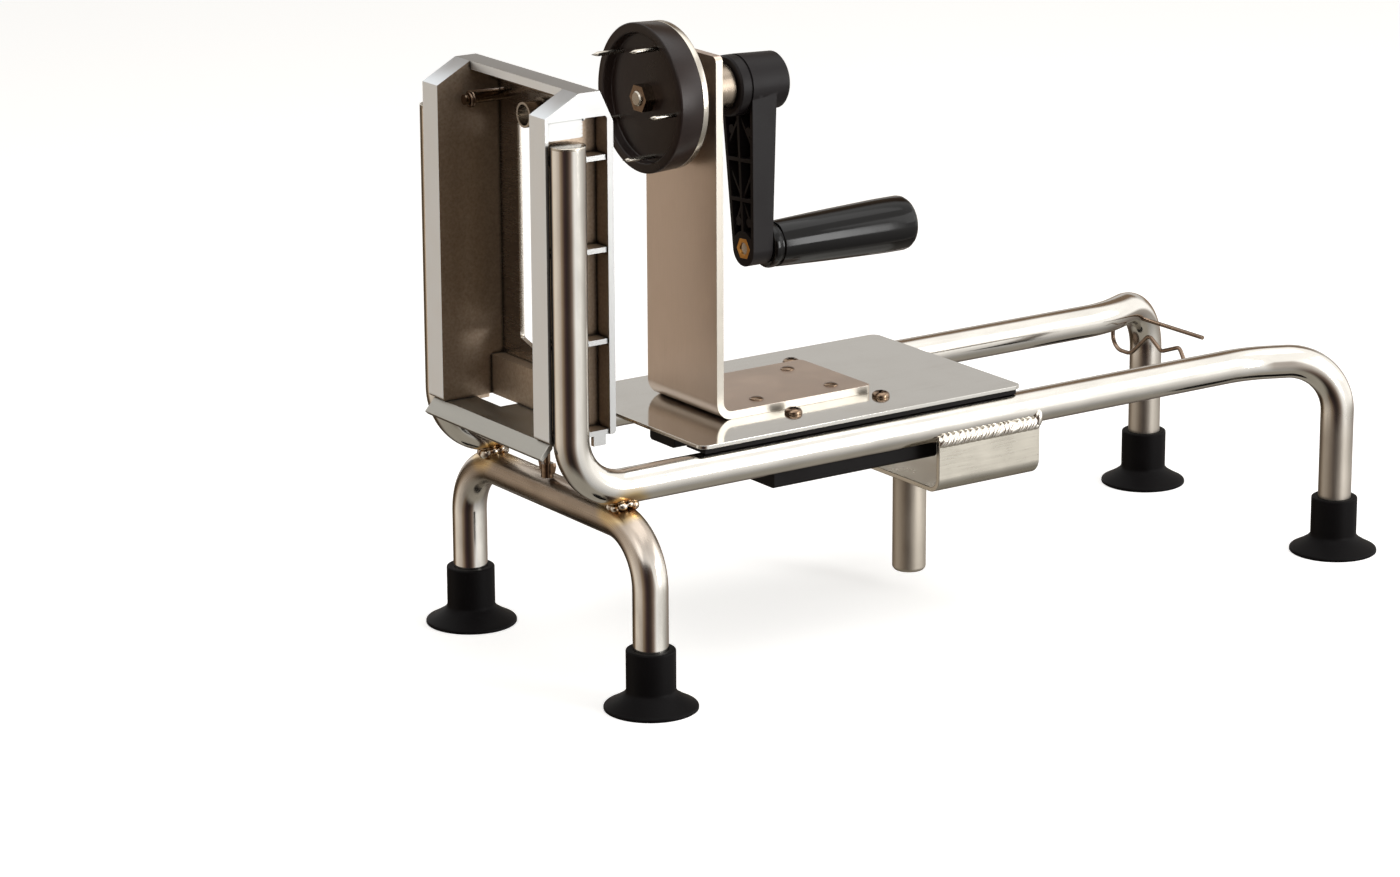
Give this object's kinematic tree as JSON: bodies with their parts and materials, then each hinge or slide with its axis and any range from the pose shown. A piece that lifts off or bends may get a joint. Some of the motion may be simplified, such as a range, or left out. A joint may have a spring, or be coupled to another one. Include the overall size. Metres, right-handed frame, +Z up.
{
  "type": "spiralizer with crank",
  "caption": "Hand-cranked spiral slicer on a bent steel tube frame: a crank with a spiked food holder rides a sliding carriage towards an upright blade housing.",
  "frame": {"origin": "middle of the machine's whole length and width, on the surface that the suction feet stand on", "axes": "+X along the rails from the blade housing to the crank, +Y across towards the side with the spring clip, +Z up"},
  "size_m": [0.4038, 0.1684, 0.2527],
  "materials": {
    "polished_tube": "polished stainless tube",
    "foot_rubber": "moulded black rubber",
    "satin_sheet": "satin brushed stainless sheet",
    "turned_bar": "fine turned stainless bar",
    "mirror_sheet": "mirror polished stainless sheet",
    "plated_casting": "bright plated casting",
    "blade_steel": "ground blade steel",
    "fastener_steel": "bright zinc plated",
    "spring_wire": "drawn spring wire",
    "guide_plastic": "moulded matte",
    "black_moulding": "moulded satin",
    "grip_plastic": "moulded gloss",
    "brass_insert": "turned brass"
  },
  "bodies": {
    "frame": {"near_rail_tube": "polished_tube", "far_rail_tube": "polished_tube", "front_leg_tube": "polished_tube", "post_caps": "polished_tube", "front_near_foot": "foot_rubber", "front_far_foot": "foot_rubber", "rear_near_foot": "foot_rubber", "rear_far_foot": "foot_rubber", "leg_bracket": "satin_sheet", "centre_stud": "turned_bar", "housing_seat": "satin_sheet", "wing_bolt": "fastener_steel", "blade_housing": "plated_casting", "cutting_plate": "blade_steel", "plate_screws": "fastener_steel", "straight_knife": "blade_steel", "knife_screws": "fastener_steel", "coring_tube": "blade_steel", "spring_pin": "fastener_steel", "latch_spring": "spring_wire"},
    "carriage": {"carriage_plate": "mirror_sheet", "near_rail_guide": "guide_plastic", "far_rail_guide": "guide_plastic", "guide_screws": "fastener_steel", "upright": "satin_sheet", "upright_rivets": "fastener_steel", "shaft_bush": "turned_bar"},
    "crank": {"crank_shaft": "turned_bar", "holder_cup": "black_moulding", "holder_prongs": "turned_bar", "backing_disc": "turned_bar", "holder_nut": "fastener_steel", "crank_screw": "fastener_steel", "crank_arm": "black_moulding", "arm_insert": "brass_insert", "grip_axle": "turned_bar"},
    "grip": {"crank_grip": "grip_plastic", "grip_cap": "grip_plastic"},
    "clip": {"rail_clip": "spring_wire"}
  },
  "joints": [
    {"name": "carriage_slide", "type": "slide", "parent": "frame", "child": "carriage", "axis": [1, 0, 0], "range_m": [-0.027, 0.105]},
    {"name": "crank_spin", "type": "hinge", "parent": "carriage", "child": "crank", "pos_m": [-0.07843, 0, 0.2231], "axis": [1, 0, 0], "continuous": true},
    {"name": "grip_spin", "type": "hinge", "parent": "crank", "child": "grip", "pos_m": [-0.04043, -0.00458, 0.15756], "axis": [1, 0, 0], "continuous": true},
    {"name": "clip_pull", "type": "slide", "parent": "frame", "child": "clip", "axis": [0, 1, 0], "range_m": [0, 0.056]}
  ]
}
